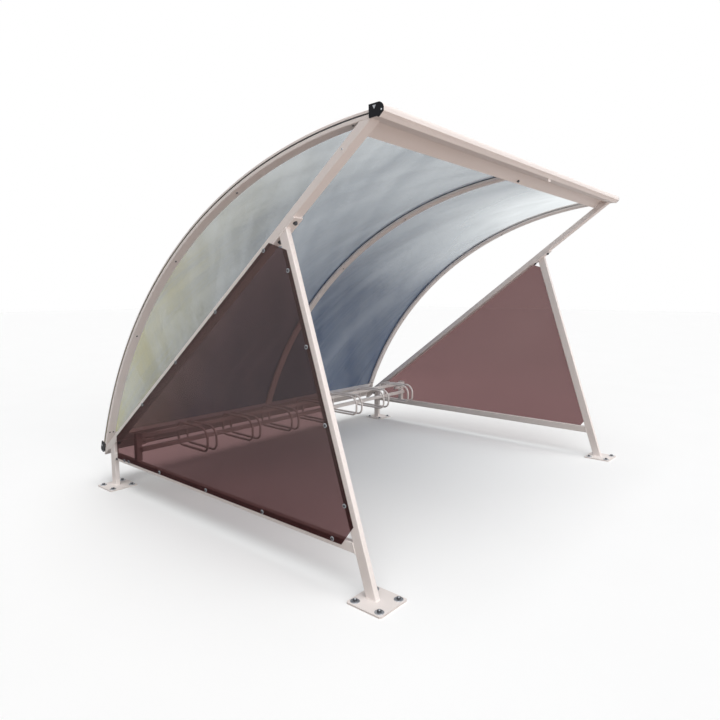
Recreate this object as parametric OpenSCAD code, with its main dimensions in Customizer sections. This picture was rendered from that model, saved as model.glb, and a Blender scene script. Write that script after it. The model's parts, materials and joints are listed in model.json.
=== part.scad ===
// Bike shelter: two leaning end frames carry a curved roof of two clear sheets, smoked sheets
// close the ends, and a rack of bent hoops runs along the back.
// Lengths are in millimetres. X runs along the shelter, the open side faces -Y and Z is up.
// Sections are drawn in a side plane with Y measured from the foot of the front leg.

/* [Shelter] */
// Distance between the outer faces of the two end frames
frame_span = 3030; // [2700:10:4000]
// Distance from the foot of the front leg to the back leg, centre to centre
leg_spacing = 2400; // [2200:10:2900]
// Distance of the front legs' heads behind their feet
leg_rake = 560; // [400:10:700]
// Height of the front legs, up to the underside of the chord
front_leg_h = 1680; // [1500:10:1900]
// Height of the back legs, up to the underside of the chord
back_leg_h = 300; // [280:5:360]
// Length of the chords in front of the front legs, along their undersides
front_overhang = 692; // [500:2:800]
// Length of the chords behind the back legs, along their undersides
back_overhang = 157; // [140:1:200]
// Height of the bottom rails above the ground
rail_height = 195; // [120:5:240]

/* [Arches] */
// Radius of the underside of the arches
arch_r = 2740; // [2400:5:3300]
// Distance of the roof's front edge behind the front ends of the chords
front_trim = 9; // [2:1:30]
// Distance of the roof's back edge in front of the back ends of the chords
back_trim = 88; // [70:1:110]
// Thickness of the arch tubes, along the radius
arch_depth = 20; // [15:1:30]

/* [Frame tubes] */
// Width of the arches and chords, along the shelter
frame_w = 60; // [40:1:80]
// Depth of the chords, from front face to back face
chord_depth = 40; // [30:1:60]
// Depth of the legs, across the shelter
leg_depth = 60; // [40:1:80]
// Width of the legs and bottom rails, along the shelter
leg_w = 30; // [25:1:40]
// Height of the bottom rails
rail_h = 51; // [30:1:60]
// Wall of all the frame tubes
tube_wall = 2.5; // [1.5:0.1:4]
// Outer corner radius of all the frame tubes
tube_round = 5; // [4.5:0.1:7]
// Thickness of the bolted plates on top of the legs
head_plate_t = 8; // [5:1:12]
// Length of the head plates on the front legs, along the chord
front_head_l = 200; // [180:5:260]
// Length of the head plates on the back legs, along the chord
back_head_l = 130; // [110:5:150]

/* [Foot plates] */
// Side of the square foot plates
foot_side = 200; // [160:5:260]
// Thickness of the foot plates
foot_t = 8; // [5:1:15]
// Corner radius of the foot plates
foot_round = 12; // [4:1:25]
// Distance of a foot plate's centre in front of its leg
foot_set = 20; // [0:1:40]
// Distance between the anchor holes, both ways
foot_hole_pitch = 140; // [110:5:150]
// Diameter of the anchor holes
foot_hole_d = 14; // [10:1:18]

/* [Roof] */
// Thickness of the roof sheets
sheet_t = 5; // [3:0.5:10]
// Gap between the two sheets under the middle cover strip
sheet_gap = 6; // [2:1:12]
// Height of the cover strips above the sheets
strip_h = 13; // [8:1:20]
// Wall of the cover strips
strip_wall = 3; // [2:0.5:4]
// Bevel along the top edges of the cover strips
strip_bevel = 4; // [2:0.5:6]
// Depth of the edge profiles, along the radius of the roof
nose_depth = 53; // [46:1:70]
// Length of the edge profiles, past the end of the sheets
nose_l = 74; // [60:1:90]
// Radius of the rounded outer corner of the edge profiles
nose_round = 24; // [10:1:28]
// Height of the sloping chin under the nose, along the radius of the roof
chin_h = 15; // [8:1:18]
// Length of the sloping chin under the nose, along the roof
chin_l = 19; // [10:1:30]
// Depth of the drip lip behind the chin
lip_drop = 4; // [2:0.5:8]
// Width of the drip lip where it leaves the profile
lip_w = 10; // [6:1:16]
// Width of the two grooves along the chin
groove_w = 3; // [1:0.5:4]
// Depth of the two grooves along the chin
groove_depth = 1.5; // [0.5:0.1:1.8]
// Distance between the grooves, and of the upper one from the front face
groove_pitch = 6; // [5:0.5:8]
// Wall of the edge profiles
nose_wall = 3; // [2:0.5:5]
// Thickness of the end caps
cap_t = 6; // [3:1:10]
// Length of the plug by which an end cap is held in its profile
cap_plug = 15; // [8:1:30]
// Clearance round the plug of an end cap
cap_fit = 0.3; // [0.1:0.1:0.8]

/* [Edge beams] */
// Length of the front beam's sloping wall, from the sheets to its web
beam_slope_l = 86; // [60:1:100]
// Width of the back beam's flange under the sheets
beam_flange_w = 78; // [60:1:100]
// Depth of the back beam's web below the sheets
beam_web_h = 66; // [50:1:80]
// Width of the lip along the free edge of the back beam's web
beam_lip_w = 20; // [10:1:30]
// Wall of both beams
beam_t = 4; // [3:0.5:6]

/* [Side panels] */
// Thickness of the side panels
panel_t = 5; // [3:0.5:8]
// Lap of a panel over the chord
panel_chord_lap = 15; // [10:1:30]
// Lap of a panel over the front leg
panel_leg_lap = 30; // [15:1:40]
// Lap of a panel over the bottom rail
panel_rail_lap = 28; // [15:1:30]
// Gap between a panel and the back leg
panel_back_gap = 50; // [20:5:90]
// Length cut off the panel's top corner, along each edge
panel_top_cut = 113; // [100:1:160]
// Length cut off the panel's lower front corner, along each edge
panel_low_cut = 108; // [60:2:160]

/* [Rack] */
// Side of the square tubes that carry the hoops
rack_tube = 30; // [25:1:35]
// Height of the lower rack tube above the bottom rails
rack_lift = 67; // [55:1:90]
// Distance between the two rack tubes, from underside to underside
rack_rise = 94; // [86:1:110]
// Distance of the rack's back face in front of the back legs
rack_set = 350; // [250:5:500]
// Distance of the ends of the rack tubes from the outer faces of the end frames
rack_inset = 25; // [5:1:30]
// Side of the square rack posts
post_side = 40; // [35:1:50]
// Length of the socket on each rack post
socket_l = 30; // [20:1:50]
// Side of the coupling stub in the socket
stub_side = 25; // [18:1:28]
// Length of the coupling stub outside its socket
stub_l = 62; // [30:1:90]

/* [Hoops] */
// Number of places in the rack
hoop_count = 7; // [7]
// Distance between places, centre to centre
hoop_pitch = 385; // [350:5:400]
// Distance between the two hoops of a place, centre to centre
hoop_gap = 72; // [60:1:90]
// Diameter of the hoop bar
hoop_bar = 16; // [12:1:20]
// Reach of the hoops, from back bar to front bar
hoop_reach = 353; // [300:1:420]
// Clearance between the top bar and the upper rack tube
hoop_over = 21; // [5:1:40]
// Centreline radius of the bend at the top of the front
hoop_top_r = 75; // [60:1:85]
// Centreline radius of the bend at the bottom of the front
hoop_low_r = 50; // [30:1:60]
// Centreline radius of the two bends at the back
hoop_back_r = 35; // [25:1:45]

/* [Hidden] */
$fn = 240;
// Cuts run past the faces that they open by this much
overrun = 5;

paint = [0.91, 0.86, 0.84];
smoke = [0.42, 0.32, 0.31, 0.7];
clear = [0.72, 0.77, 0.78, 0.6];
black = [0.1, 0.1, 0.11];

left = -1;
right = 1;
half_span = frame_span / 2;
beam_x = frame_w - half_span;
beam_l = frame_span - 2 * frame_w;

// Point where two lines meet in the side plane, each given by a point and a direction
function meet(p, d, q, e) = p + d * cross(q - p, e) / cross(d, e);

// Chord, through the heads of the legs: a point on it lies a distance along its underside from the
// front leg's head, and a height square to it
front_foot = [0, 0];
front_head = [leg_rake, front_leg_h];
back_foot = [leg_spacing, 0];
back_head = [leg_spacing, back_leg_h];
head_spacing = norm(back_head - front_head);
chord_along = (back_head - front_head) / head_spacing;
chord_up = [-chord_along.y, chord_along.x];
function chord_point(s, n) = front_head + s * chord_along + n * chord_up;
function at_chord(p, d, n) = meet(p, d, chord_point(0, n), chord_along);
function at_level(p, d, z) = meet(p, d, [0, z], [1, 0]);

// Front leg: its direction, and a point beside the foot from the offset square behind its axis
leg_along = (front_head - front_foot) / norm(front_head - front_foot);
function leg_beside(offset) = front_foot + offset * [leg_along.y, -leg_along.x];

// The arches' underside passes through both ends of the chord's underside
chord_start = -front_overhang;
chord_end = head_spacing + back_overhang;
chord_mid = (chord_start + chord_end) / 2;
arch_drop = sqrt(pow(arch_r, 2) - pow(chord_end - chord_mid, 2));
arch_centre = chord_point(chord_mid, -arch_drop);
function angle_of(p) = atan2(p.y - arch_centre.y, p.x - arch_centre.x);
arch_start_deg = angle_of(chord_point(chord_end, 0)) + atan2(back_trim, arch_r);
arch_end_deg = angle_of(chord_point(chord_start, 0)) - atan2(front_trim, arch_r);

// Layers of the roof, as radii from the arch centre
sheet_r = arch_r + arch_depth;
strip_r = sheet_r + sheet_t;

// Front beam: its sloping wall carries on the line of the chords' upper faces, and leaves a circle
// about the arch centre at a distance from the front leg's head
function slope_start(n, r) = chord_mid - sqrt(pow(r, 2) - pow(arch_drop + n, 2));
beam_corner = chord_point(slope_start(chord_depth, sheet_r) + beam_slope_l, chord_depth);

// Angles at which the webs of the edge beams stand
front_web_deg = angle_of(beam_corner);
back_web_deg = arch_start_deg + atan2(beam_flange_w, sheet_r);

// Heights in the rack
rail_top = rail_height + rail_h;
rack_low = rail_top + rack_lift;
rack_high = rack_low + rack_rise;
rack_top = rack_high + rack_tube;
rack_y = back_foot.x - rack_set;
hoop_low = rack_low - hoop_bar / 2;
hoop_h = rack_top + hoop_over + hoop_bar / 2 - hoop_low;
hoop_places = [for (i = [0:hoop_count - 1]) (i - (hoop_count - 1) / 2) * hoop_pitch];

// Chin of the edge profiles, as radius and distance along the roof: its lower edge, its direction up
// to the front face, and the direction into the profile
chin_edge = [0, nose_l - chin_l];
chin_face = norm([chin_h, chin_l]);
chin_along = [chin_h, chin_l] / chin_face;
chin_in = [chin_along.y, -chin_along.x];
function chin_point(along, deep) = chin_edge + along * chin_along + deep * chin_in;

// The part's origin lies below the middle of its outermost points
nose_front = arch_centre.x + (arch_r + chin_h) * cos(arch_end_deg) - nose_l * sin(arch_end_deg);
nose_back = arch_centre.x + (arch_r + nose_depth - nose_round) * cos(arch_start_deg)
    + (nose_l - nose_round) * sin(arch_start_deg) + nose_round;
front_edge = min(front_foot.x - foot_set - foot_side / 2, nose_front);
back_edge = max(back_foot.x - foot_set + foot_side / 2, nose_back);
mid_y = (front_edge + back_edge) / 2;

// Places a section's pieces about the part's origin
module placed() {
    translate([0, -mid_y, 0]) children();
}

// Draws a left-hand piece, or its mirror image on the right
module on_side(side) {
    if (side == left) placed() children();
    else mirror([1, 0, 0]) placed() children();
}

// Carries a section in the side plane along the shelter
module along_x(x, length) {
    translate([x, 0, 0]) rotate([90, 0, 90]) linear_extrude(length) children();
}

// Turns the side plane about the arch centre, so that the first axis is the radius at an angle
module at_arch(x) {
    translate([x, arch_centre.x, arch_centre.y]) rotate([90, 0, 90]) children();
}

// Sweeps a section of radius and width round the arch
module round_arch(x, from, to) {
    at_arch(x) rotate(from) rotate_extrude(angle = to - from) children();
}

// Outline with rounded corners
module rounded(size, r) {
    translate([r, 0]) square([size.x - 2 * r, size.y]);
    translate([0, r]) square([size.x, size.y - 2 * r]);
    for (x = [r, size.x - r], y = [r, size.y - r]) translate([x, y]) circle(r);
}

// Section of a tube, and the hollow inside it
module tube_bore(depth, width) {
    translate([tube_wall, tube_wall])
        rounded([depth - 2 * tube_wall, width - 2 * tube_wall], tube_round - tube_wall);
}
module tube_section(depth, width) {
    difference() {
        rounded([depth, width], tube_round);
        tube_bore(depth, width);
    }
}

// Straight tube in an end frame, with its axis from a point in the side plane
module side_tube(from, along, length, depth, width) {
    translate([-half_span, from.x, from.y]) rotate([-atan2(along.x, along.y), 0, 0])
        linear_extrude(length) translate([0, -depth / 2]) tube_section(width, depth);
}

// Keeps what lies within an outline in the side plane, from a frame's outer face inwards
module side_cut(outline, width) {
    intersection() {
        children();
        along_x(-half_span - overrun, width + 2 * overrun) polygon(outline);
    }
}

// Flat strip along the chord, between two heights square to it and two distances along it
module chord_strip(from, to, low, high) {
    polygon([chord_point(from, low), chord_point(to, low), chord_point(to, high), chord_point(from, high)]);
}

// Tube cut level on its foot plate and to the chord, with a head plate under the chord
module leg(side, foot, head, head_l) {
    along = (head - foot) / norm(head - foot);
    front = foot - [leg_depth, 0];
    back = foot + [leg_depth, 0];
    head_s = (head - front_head) * chord_along;
    into_plate = -head_plate_t / 2;
    color(paint) on_side(side) {
        side_cut([at_level(front, along, foot_t), at_level(back, along, foot_t),
                  at_chord(back, along, into_plate), at_chord(front, along, into_plate)], leg_w)
            side_tube(foot - leg_depth * along, along, norm(head - foot) + 2 * leg_depth, leg_depth, leg_w);
        along_x(-half_span, frame_w)
            chord_strip(head_s - head_l / 2, head_s + head_l / 2, -head_plate_t, 0);
    }
}

// Square plate with rounded corners and four anchor holes, under the foot of a leg
module foot_plate(side, foot) {
    color(paint) on_side(side) translate([-half_span + leg_w / 2, foot.x - foot_set, 0]) difference() {
        translate([-foot_side / 2, -foot_side / 2])
            linear_extrude(foot_t) rounded([foot_side, foot_side], foot_round);
        for (sx = [-1, 1], sy = [-1, 1])
            translate([sx * foot_hole_pitch / 2, sy * foot_hole_pitch / 2, -overrun])
                cylinder(d = foot_hole_d, h = foot_t + 2 * overrun);
    }
}

// Straight tube that falls from the front edge to the back, cut at both ends to the arch
module chord(side) {
    color(paint) on_side(side) intersection() {
        side_tube(chord_point(chord_start - overrun, chord_depth / 2), chord_along,
            chord_end - chord_start + 2 * overrun, chord_depth, frame_w);
        at_arch(-half_span - overrun) cylinder(r = arch_r, h = frame_w + 2 * overrun);
    }
}

// Level tube between the legs of an end frame
module bottom_rail(side) {
    front = leg_beside(leg_depth / 2);
    back = back_foot - [leg_depth / 2, 0];
    low = rail_height - overrun;
    high = rail_top + overrun;
    color(paint) on_side(side)
        side_cut([at_level(front, leg_along, low), back + [0, low],
                  back + [0, high], at_level(front, leg_along, high)], leg_w)
            side_tube([front_foot.x, rail_height + rail_h / 2], [1, 0], leg_spacing, rail_h, leg_w);
}

// Rolled tube that carries the roof sheets, at a place along the shelter and between two angles
module arch(x, from, to) {
    color(paint) placed() round_arch(x, from, to) translate([arch_r, 0]) tube_section(arch_depth, frame_w);
}

// Clear sheet bent over half of the shelter
module roof_sheet(side) {
    color(clear) on_side(side) round_arch(-half_span, arch_start_deg, arch_end_deg)
        translate([sheet_r, 0]) square([sheet_t, half_span - sheet_gap / 2]);
}

// Bevelled channel that clamps the sheets on an arch
module cover_strip(x) {
    color(paint) placed() round_arch(x, arch_start_deg, arch_end_deg) translate([strip_r, 0]) difference() {
        polygon([
            [0, 0], [strip_h - strip_bevel, 0], [strip_h, strip_bevel],
            [strip_h, frame_w - strip_bevel], [strip_h - strip_bevel, frame_w], [0, frame_w]
        ]);
        translate([-overrun, strip_bevel + strip_wall])
            square([strip_h - strip_wall + overrun, frame_w - 2 * strip_bevel - 2 * strip_wall]);
    }
}

// Section of an edge profile at one end of the arches, drawn past the front or past the back
module at_edge(angle, past) {
    rotate(angle) translate([arch_r, 0]) mirror([0, past == "back" ? 1 : 0]) children();
}

// Band along the chin, between two distances up it and two depths into the profile
module chin_band(from, to, low, high) {
    polygon([chin_point(from, low), chin_point(to, low), chin_point(to, high), chin_point(from, high)]);
}

// Nose with a rounded outer corner and a sloping chin, drawn along the radius and along the roof, with
// its outline moved inwards
module nose_section(inset) {
    difference() {
        union() {
            translate([inset, inset]) square([nose_depth - 2 * inset, nose_l - nose_round - inset]);
            translate([inset, inset]) square([nose_depth - nose_round - inset, nose_l - 2 * inset]);
            translate([nose_depth - nose_round, nose_l - nose_round]) circle(nose_round - inset);
        }
        chin_band(-nose_l, nose_l, inset, -nose_l);
    }
}

// Lip that carries on the line of the chin, for rain to drip from
module drip_lip() {
    in_wall = [nose_wall / 2, 0];
    tip = chin_edge - lip_drop / chin_h * [chin_h, chin_l];
    back = chin_edge - [0, lip_w];
    polygon([chin_edge + in_wall, chin_edge, tip, [tip.x, back.y], back, back + in_wall]);
}

// Hollow extrusion with a grooved chin that closes the roof along an edge; past the back its lip lies
// between the chords, which run on below it
module edge_profile(angle, past) {
    lip_x = past == "back" ? beam_x : -half_span;
    lip_l = past == "back" ? beam_l : frame_span;
    color(paint) placed() {
        at_arch(-half_span) linear_extrude(frame_span) at_edge(angle, past) difference() {
            nose_section(0);
            nose_section(nose_wall);
            for (i = [1, 2]) {
                top = chin_face - i * groove_pitch + groove_w;
                chin_band(top - groove_w, top, -overrun, groove_depth);
            }
        }
        at_arch(lip_x) linear_extrude(lip_l) at_edge(angle, past) drip_lip();
    }
}

// Moulded cap with a hollow plug in the end of an edge profile
module end_cap(side, angle, past) {
    color(black) on_side(side) {
        at_arch(-half_span - cap_t) linear_extrude(cap_t) at_edge(angle, past) {
            nose_section(0);
            drip_lip();
        }
        at_arch(-half_span) linear_extrude(cap_plug) at_edge(angle, past) difference() {
            nose_section(nose_wall + cap_fit);
            nose_section(2 * nose_wall + cap_fit);
        }
    }
}

// Flange of an edge beam, bent to the sheets above it
module beam_flange(from, to) {
    round_arch(beam_x, from, to) translate([sheet_r - beam_t, 0]) square([beam_t, beam_l]);
}

// Hollow beam between the end frames: a flange, a web that the middle arch ends on, and a sloping wall
module front_beam() {
    in_flange = sheet_r - beam_t / 2;
    web_up = [cos(front_web_deg), sin(front_web_deg)];
    web_wall = beam_t * [-web_up.y, web_up.x];
    web_top = arch_centre + in_flange * web_up;
    high = chord_depth + beam_t;
    color(paint) placed() {
        beam_flange(front_web_deg, arch_end_deg);
        along_x(beam_x, beam_l) polygon([
            chord_point(slope_start(chord_depth, in_flange), chord_depth),
            beam_corner,
            web_top,
            web_top + web_wall,
            at_chord(web_top + web_wall, web_up, high),
            chord_point(slope_start(high, in_flange), high)
        ]);
    }
}

// Folded beam between the end frames: a flange, a web that the middle arch ends on, and a lip
module back_beam() {
    web_foot = sheet_r - beam_web_h;
    color(paint) placed() {
        beam_flange(arch_start_deg, back_web_deg);
        at_arch(beam_x) linear_extrude(beam_l) rotate(back_web_deg) {
            translate([web_foot, -beam_t]) square([beam_web_h - beam_t / 2, beam_t]);
            translate([web_foot, -beam_t]) square([beam_t, beam_lip_w]);
        }
    }
}

// Smoked sheet on the outer face of an end frame, with two corners cut off
module side_panel(side) {
    front = leg_beside(leg_depth / 2 - panel_leg_lap);
    top = at_chord(front, leg_along, panel_chord_lap);
    low = at_level(front, leg_along, rail_top - panel_rail_lap);
    back = back_foot - [leg_depth / 2 + panel_back_gap, 0];
    color(smoke) on_side(side) along_x(-half_span - panel_t, panel_t) polygon([
        at_chord(back, [0, 1], panel_chord_lap),
        top + panel_top_cut * chord_along,
        top - panel_top_cut * leg_along,
        low + panel_low_cut * leg_along,
        low + [panel_low_cut, 0],
        [back.x, low.y]
    ]);
}

// Square tube along the rack, open at its ends
module rack_bar(z) {
    color(paint) placed() along_x(rack_inset - half_span, frame_span - 2 * rack_inset)
        translate([rack_y - rack_tube, z]) tube_section(rack_tube, rack_tube);
}

// Post on the bottom rail behind the rack, with a socket and its coupling stub facing along the rack
module rack_post(side) {
    mid_z = (rack_low + rack_top) / 2;
    x = -half_span;
    color(paint) on_side(side) {
        translate([x, rack_y, rail_top]) difference() {
            linear_extrude(rack_top - rail_top) rounded([post_side, post_side], tube_round);
            translate([0, 0, -overrun])
                linear_extrude(rack_top - rail_top - tube_wall + overrun) tube_bore(post_side, post_side);
        }
        along_x(x + post_side - tube_wall, socket_l + tube_wall)
            translate([rack_y, mid_z - post_side / 2]) tube_section(post_side, post_side);
        along_x(x + post_side + socket_l - tube_wall, tube_wall)
            translate([rack_y, mid_z - post_side / 2]) rounded([post_side, post_side], tube_round);
        along_x(x + post_side + socket_l - tube_wall, stub_l + tube_wall)
            translate([rack_y + (post_side - stub_side) / 2, mid_z - stub_side / 2])
                tube_section(stub_side, stub_side);
    }
}

// Quarter bend of the hoop bar
module bend(centre, r, from) {
    translate(centre) rotate(from) rotate_extrude(angle = 90) translate([r, 0]) circle(d = hoop_bar);
}

// Straight lengths of the hoop bar, level and upright
module level_bar(from, to, z) {
    translate([from, z]) rotate([0, 90, 0]) cylinder(d = hoop_bar, h = to - from);
}
module upright_bar(y, from, to) {
    translate([y, from]) rotate([-90, 0, 0]) cylinder(d = hoop_bar, h = to - from);
}

// Closed ring of bent bar round both rack tubes, with its back bar against them
module hoop(x) {
    translate([x, rack_y + hoop_bar / 2, hoop_low]) rotate([90, 0, 90]) {
        upright_bar(0, hoop_back_r, hoop_h - hoop_back_r);
        bend([-hoop_back_r, hoop_h - hoop_back_r], hoop_back_r, 0);
        level_bar(hoop_top_r - hoop_reach, -hoop_back_r, hoop_h);
        bend([hoop_top_r - hoop_reach, hoop_h - hoop_top_r], hoop_top_r, 90);
        upright_bar(-hoop_reach, hoop_low_r, hoop_h - hoop_top_r);
        bend([hoop_low_r - hoop_reach, hoop_low_r], hoop_low_r, 180);
        level_bar(hoop_low_r - hoop_reach, -hoop_back_r, 0);
        bend([-hoop_back_r, hoop_back_r], hoop_back_r, 270);
    }
}

// Two hoops that hold a wheel between them
module hoop_pair(place) {
    color(paint) placed() for (side = [left, right]) hoop(hoop_places[place] + side * hoop_gap / 2);
}

leg(left, front_foot, front_head, front_head_l);  // left_front_leg
leg(right, front_foot, front_head, front_head_l);  // right_front_leg
leg(left, back_foot, back_head, back_head_l);  // left_back_leg
leg(right, back_foot, back_head, back_head_l);  // right_back_leg
foot_plate(left, front_foot);  // left_front_foot
foot_plate(right, front_foot);  // right_front_foot
foot_plate(left, back_foot);  // left_back_foot
foot_plate(right, back_foot);  // right_back_foot
chord(left);  // left_chord
chord(right);  // right_chord
bottom_rail(left);  // left_bottom_rail
bottom_rail(right);  // right_bottom_rail
arch(-half_span, arch_start_deg, arch_end_deg);  // left_arch
arch(-frame_w / 2, back_web_deg, front_web_deg);  // middle_arch
arch(half_span - frame_w, arch_start_deg, arch_end_deg);  // right_arch
roof_sheet(left);  // left_roof_sheet
roof_sheet(right);  // right_roof_sheet
cover_strip(-half_span);  // left_cover_strip
cover_strip(-frame_w / 2);  // middle_cover_strip
cover_strip(half_span - frame_w);  // right_cover_strip
edge_profile(arch_end_deg, "front");  // front_edge_profile
edge_profile(arch_start_deg, "back");  // back_edge_profile
end_cap(left, arch_end_deg, "front");  // front_left_end_cap
end_cap(right, arch_end_deg, "front");  // front_right_end_cap
end_cap(left, arch_start_deg, "back");  // back_left_end_cap
end_cap(right, arch_start_deg, "back");  // back_right_end_cap
front_beam();
back_beam();
side_panel(left);  // left_side_panel
side_panel(right);  // right_side_panel
rack_bar(rack_high);  // rack_upper_tube
rack_bar(rack_low);  // rack_lower_tube
rack_post(left);  // left_rack_post
rack_post(right);  // right_rack_post
hoop_pair(0);  // hoop_pair_1
hoop_pair(1);  // hoop_pair_2
hoop_pair(2);  // hoop_pair_3
hoop_pair(3);  // hoop_pair_4
hoop_pair(4);  // hoop_pair_5
hoop_pair(5);  // hoop_pair_6
hoop_pair(6);  // hoop_pair_7
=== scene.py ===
"""Bike shelter: the finish of every surface, and the small pieces that fasten the frame together."""
import json
import math

import bpy
import numpy as np
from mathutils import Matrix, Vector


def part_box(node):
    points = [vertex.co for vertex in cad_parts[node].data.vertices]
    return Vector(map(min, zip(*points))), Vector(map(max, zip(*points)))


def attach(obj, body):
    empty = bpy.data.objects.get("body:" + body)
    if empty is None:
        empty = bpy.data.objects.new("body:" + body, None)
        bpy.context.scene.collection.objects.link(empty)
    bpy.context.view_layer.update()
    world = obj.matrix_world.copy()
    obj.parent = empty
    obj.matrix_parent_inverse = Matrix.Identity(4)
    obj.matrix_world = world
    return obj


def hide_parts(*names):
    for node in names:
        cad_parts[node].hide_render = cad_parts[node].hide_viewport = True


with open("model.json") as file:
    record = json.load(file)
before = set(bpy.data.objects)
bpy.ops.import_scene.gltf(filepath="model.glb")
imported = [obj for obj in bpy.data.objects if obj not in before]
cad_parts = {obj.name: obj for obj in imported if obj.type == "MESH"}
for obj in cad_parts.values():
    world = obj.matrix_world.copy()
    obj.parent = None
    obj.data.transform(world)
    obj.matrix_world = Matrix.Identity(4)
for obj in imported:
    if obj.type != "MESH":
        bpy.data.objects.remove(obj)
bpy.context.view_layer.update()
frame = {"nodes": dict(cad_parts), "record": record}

# Sizes of the shelter, in metres
LEG_SPACING = 2.4
LEG_RAKE = 0.56
FRONT_LEG_H = 1.68
BACK_LEG_H = 0.3
FRONT_OVERHANG = 0.692
BACK_OVERHANG = 0.157
FRAME_W = 0.06
LEG_W = 0.03
LEG_DEPTH = 0.06
TUBE_ROUND = 0.005
CHORD_DEPTH = 0.04
HEAD_PLATE_T = 0.008
FOOT_SET = 0.02
ANCHOR_PITCH = 0.14
ARCH_R = 2.74
ARCH_DEPTH = 0.02
SHEET_T = 0.005
SHEET_GAP = 0.006
STRIP_H = 0.013
ROOF_BACK = math.radians(19.8955)
ROOF_FRONT = math.radians(88.0160)
CAP_T = 0.006
PANEL_CHORD_LAP = 0.015
PANEL_LEG_LAP = 0.03
PANEL_RAIL_LAP = 0.028
PANEL_BACK_GAP = 0.05
PANEL_TOP_CUT = 0.113
PANEL_LOW_CUT = 0.108
POST_SIDE = 0.04
SOCKET_L = 0.03
HOOPS = 7
HOOP_PITCH = 0.385
HOOP_GAP = 0.072

# Screw heads: radius, height and radius of the socket, in metres
PANEL_SCREW = (0.0075, 0.0042, 0.0028)
ARCH_SCREW = (0.0062, 0.0038, 0.0025)
ARCH_END_SCREW = (0.0055, 0.0035, 0.0022)
SOCKET_SCREW = (0.005, 0.003, 0.0022)
CAP_SCREW = (0.004, 0.0025, 0.0016)
CHORD_PLUG = (0.005, 0.002, 0.0015)
HEAD_SINK = 0.001

# A socket's floor and the point below it, as shares of the socket's radius and the head's height
SOCKET_FLOOR = (0.98, 0.35)
SOCKET_POINT = (0.3, 0.3)

# Bolts: radius of the washer, width across the flats and height, in metres
HEAD_BOLT = (0.012, 0.017, 0.0105)
FRAME_BOLT = (0.009, 0.012, 0.008)
STRIP_BOLT = (0.009, 0.01, 0.007)

# Washers: radius of the hole, radius and thickness, in metres
ANCHOR_WASHER = (0.0065, 0.022, 0.003)
PANEL_WASHER = (0.004, 0.0105, 0.0016)

# Anchors, in metres
NUT_FLATS = 0.018
NUT_TOP = 0.012
NUT_CAP_R = 0.005
STUD_R = 0.006
STUD_LOW = 0.001
STUD_TOP = 0.015
STUD_TAPER = 0.002
THREAD_PITCH = 0.00175
THREAD_DEPTH = 0.0007

# Rows of panel screws, in metres along and beside the tube that carries them
SCREWS_IN_ROW = 4
CHORD_SCREW_FIRST = 0.16
CHORD_SCREW_PITCH = 0.521
CHORD_SCREW_UP = 0.0095
LEG_SCREW_FIRST = 0.44
LEG_SCREW_PITCH = 0.379
LEG_SCREW_BACK = 0.02
RAIL_SCREW_FIRST = 0.236
RAIL_SCREW_PITCH = 0.51
RAIL_SCREW_LAP = 0.014

# Single places, in metres: back and up from the front foot, along and square to the chord from the front
# leg's head, or, on an end cap, out from the arch and past the sheets
CORNER_SCREWS_AT = ((2.163, 0.224), (2.221, 0.22))
RAIL_BOLT_AT = (2.338, 0.209)
CHORD_PLUG_AT = (-0.503, 0.02)
CAP_SCREW_AT = (0.02, 0.066)
CAP_PLATE_AT = (0.039, 0.03)
BEAM_BOLT_X = 0.039
BEAM_BOLT_ALONG = -0.603
HEAD_BOLT_SET = 0.069
BACK_HEAD_BOLT_SET = 0.045

# Screws round the arches: their angles, and the gap between the two of a pair in metres
ARCH_SCREWS_AT = np.radians([39.4, 53.8, 68.2])
ARCH_PAIRS_AT = np.radians([21.9, 85.8])
PAIR_GAP = 0.026

# Plates of the end caps and the clip of the front profile, in metres
CAP_PLATE_R = 0.0105
CAP_PLATE_H = 0.002
CLIP_X = 0.2
CLIP_W = 0.036
CLIP_T = 0.003
CLIP_TOP = 0.001
CLIP_DROP = 0.021
CLIP_ALONG = 0.046

# Welds and seals, in metres; the ripple is a share of the radius
WELD_R = 0.0032
WELD_RIPPLE = 0.14
WELD_PITCH = 0.0045
WELD_STEPS = 4
HOOP_BEAD_ASIDE = 0.0058
HOOP_BEAD_SHORT = 0.004
HOOP_BEAD_BACK = 0.0022
POST_BEAD_SHORT = 0.003
POST_BEAD_FRONT = 0.001
SEAL_T = 0.0015
SEAL_H = 0.0032
BEDDING = 0.0003
POLISHED_EDGE = 0.0007

# Steps round the roof and up a screw's dome, and the least angles that stay sharp, in degrees
ROOF_STEPS = 121
DOME_STEPS = 5
CREASE_DEG = 40
SHEET_CREASE_DEG = 20
SEAL_CREASE_DEG = 50
WELD_CREASE_DEG = 60


# Places taken from the frame

def lowest(node):
    """The lowest corner of a node's box."""
    return np.array(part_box(node)[0])


def highest(node):
    """The highest corner of a node's box."""
    return np.array(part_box(node)[1])


def middle(node):
    """The middle of a node's box."""
    return (lowest(node) + highest(node)) / 2


def unit(vectors):
    """Vectors divided by their lengths, along the last axis."""
    vectors = np.asarray(vectors, float)
    return vectors / np.linalg.norm(vectors, axis=-1, keepdims=True)


HALF_SPAN = highest("right_chord")[0]
FOOT_T = highest("left_front_foot")[2]
RAIL_TOP = highest("left_bottom_rail")[2]
RAIL_H = RAIL_TOP - lowest("left_bottom_rail")[2]
PANEL_T = highest("left_side_panel")[0] - lowest("left_side_panel")[0]
RACK_BACK = highest("rack_lower_tube")[1]
RACK_LEVELS = np.array([lowest("rack_lower_tube")[2], lowest("rack_upper_tube")[2]])
RACK_TUBE = highest("rack_lower_tube")[2] - RACK_LEVELS[0]

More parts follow.
